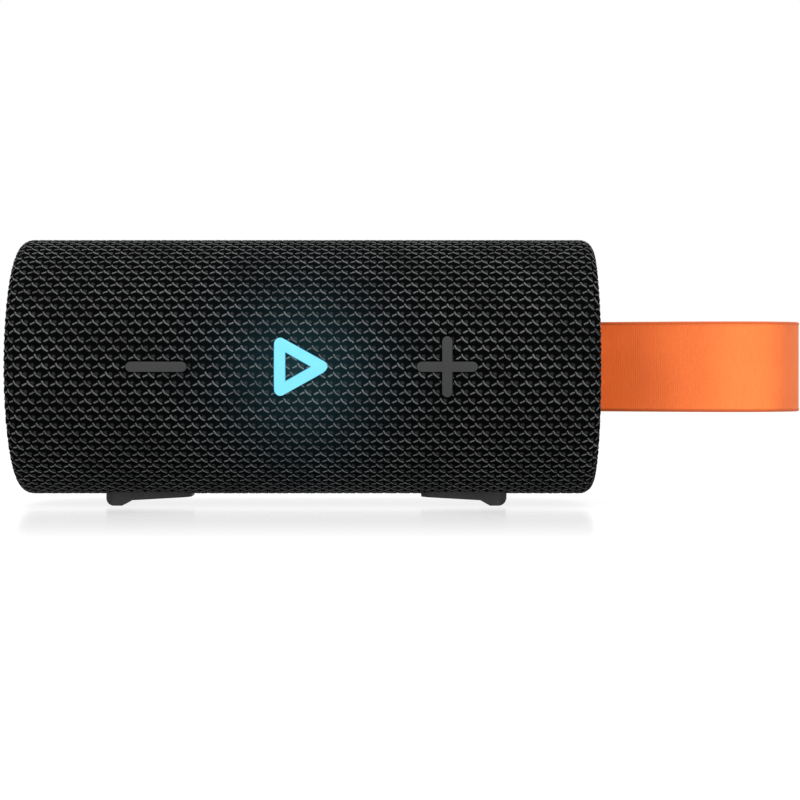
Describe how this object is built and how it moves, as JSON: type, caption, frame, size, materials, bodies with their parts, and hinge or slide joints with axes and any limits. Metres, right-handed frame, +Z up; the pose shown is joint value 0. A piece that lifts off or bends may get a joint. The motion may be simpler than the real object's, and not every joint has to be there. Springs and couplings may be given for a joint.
{
  "type": "portable speaker",
  "caption": "Small waterproof cylinder speaker in black mesh cloth, with front keys, a glowing play symbol, rubber feet and an orange strap loop.",
  "frame": {"origin": "on the standing plane, below the middle of the body's length, under the body's axis", "axes": "+X along the body towards the strap's end, +Y to the rear (the keys face -Y), +Z up"},
  "size_m": [0.1439, 0.0472, 0.0489],
  "materials": {
    "cloth": "coarse black mesh knit",
    "housing_plastic": "moulded, fine texture",
    "trim_plastic": "satin moulded rings",
    "black_rubber": "matt moulded rubber",
    "seal_rubber": "soft seals and surrounds",
    "key_plastic": "grey moulded key tips",
    "glow_plastic": "milky light guide, lit from behind",
    "strap_webbing": "flat orange webbing",
    "steel": "bright steel",
    "ferrite": "sintered ferrite",
    "basket_metal": "pressed steel, black",
    "cone_paper": "coated paper",
    "spider_cloth": "resin-dipped cloth",
    "copper_wire": "enamelled wire winding",
    "radiator_alloy": "black anodised disc",
    "battery_can": "metal can in a blank sleeve",
    "board_laminate": "green solder mask",
    "chip_resin": "black moulding resin",
    "connector_nylon": "cream nylon",
    "capacitor_sleeve": "small cans",
    "led_resin": "clear resin",
    "wire_sleeve": "coloured wire insulation"
  },
  "bodies": {
    "body": {"cloth_sleeve": "cloth", "front_housing": "housing_plastic", "rear_housing": "housing_plastic", "housing_screws": "steel", "seam_seal": "seal_rubber", "left_foot": "black_rubber", "right_foot": "black_rubber", "key_board": "board_laminate", "key_board_screws": "steel", "key_switches": "steel", "play_leds": "led_resin", "rear_panel": "black_rubber", "panel_gasket": "seal_rubber", "port_cover_pin": "steel", "main_board": "board_laminate", "board_screws": "steel", "radio_module": "chip_resin", "amplifier_chip": "chip_resin", "power_chip": "chip_resin", "speaker_connector": "connector_nylon", "battery_connector": "connector_nylon", "capacitors": "capacitor_sleeve", "usb_socket": "steel", "rear_switches": "steel", "board_link": "chip_resin", "battery_cell": "battery_can", "battery_cradle": "housing_plastic", "battery_leads": "wire_sleeve", "speaker_leads": "wire_sleeve", "left_end_seal": "seal_rubber", "right_end_seal": "seal_rubber", "left_trim_ring": "trim_plastic", "right_trim_ring": "trim_plastic", "radiator_frame": "housing_plastic", "radiator_surround": "seal_rubber", "strap_cap": "housing_plastic", "strap_pin": "steel", "driver_baffle": "housing_plastic", "driver_gasket": "seal_rubber", "driver_basket": "basket_metal", "driver_top_plate": "steel", "driver_magnet": "ferrite", "driver_yoke": "steel", "cone_surround": "seal_rubber", "spider": "spider_cloth", "driver_screws": "steel"},
    "minus_key": {"minus_key": "key_plastic"},
    "play_key": {"play_key": "glow_plastic", "play_cloth_patch": "cloth"},
    "plus_key": {"plus_key": "key_plastic"},
    "power_key": {"power_key": "black_rubber"},
    "pairing_key": {"pairing_key": "black_rubber"},
    "port_cover": {"port_cover": "black_rubber"},
    "strap": {"strap_loop": "strap_webbing"},
    "driver_cone": {"cone": "cone_paper", "dust_cap": "cone_paper", "voice_coil": "copper_wire"},
    "passive_radiator": {"radiator_plate": "radiator_alloy"}
  },
  "joints": [
    {"name": "minus_key_press", "type": "slide", "parent": "body", "child": "minus_key", "axis": [0, 1, 0], "range_m": [0, 0.0004], "stiffness_N_per_m": 1500, "springref_m": -0.0002},
    {"name": "play_key_press", "type": "slide", "parent": "body", "child": "play_key", "axis": [0, 1, 0], "range_m": [0, 0.0004], "stiffness_N_per_m": 1500, "springref_m": -0.0002},
    {"name": "plus_key_press", "type": "slide", "parent": "body", "child": "plus_key", "axis": [0, 1, 0], "range_m": [0, 0.0004], "stiffness_N_per_m": 1500, "springref_m": -0.0002},
    {"name": "power_key_press", "type": "slide", "parent": "body", "child": "power_key", "axis": [0, -1, 0], "range_m": [0, 0.0004], "stiffness_N_per_m": 1500, "springref_m": -0.0002},
    {"name": "pairing_key_press", "type": "slide", "parent": "body", "child": "pairing_key", "axis": [0, -1, 0], "range_m": [0, 0.0004], "stiffness_N_per_m": 1500, "springref_m": -0.0002},
    {"name": "port_cover_hinge", "type": "hinge", "parent": "body", "child": "port_cover", "pos_m": [0.0245, 0.022, 0.02175], "axis": [-1, 0, 0], "range_deg": [0, 100]},
    {"name": "strap_swing", "type": "hinge", "parent": "body", "child": "strap", "pos_m": [0.049, 0, 0.02545], "axis": [0, 0, 1], "range_deg": [-25, 25]},
    {"name": "cone_stroke", "type": "slide", "parent": "body", "child": "driver_cone", "axis": [0, 0, 1], "range_m": [-0.0008, 0.0008], "stiffness_N_per_m": 1200, "deforming": ["cone_surround", "spider"]},
    {"name": "radiator_stroke", "type": "slide", "parent": "body", "child": "passive_radiator", "axis": [-1, 0, 0], "range_m": [-0.001, 0.001], "stiffness_N_per_m": 800, "deforming": ["radiator_surround"]}
  ]
}
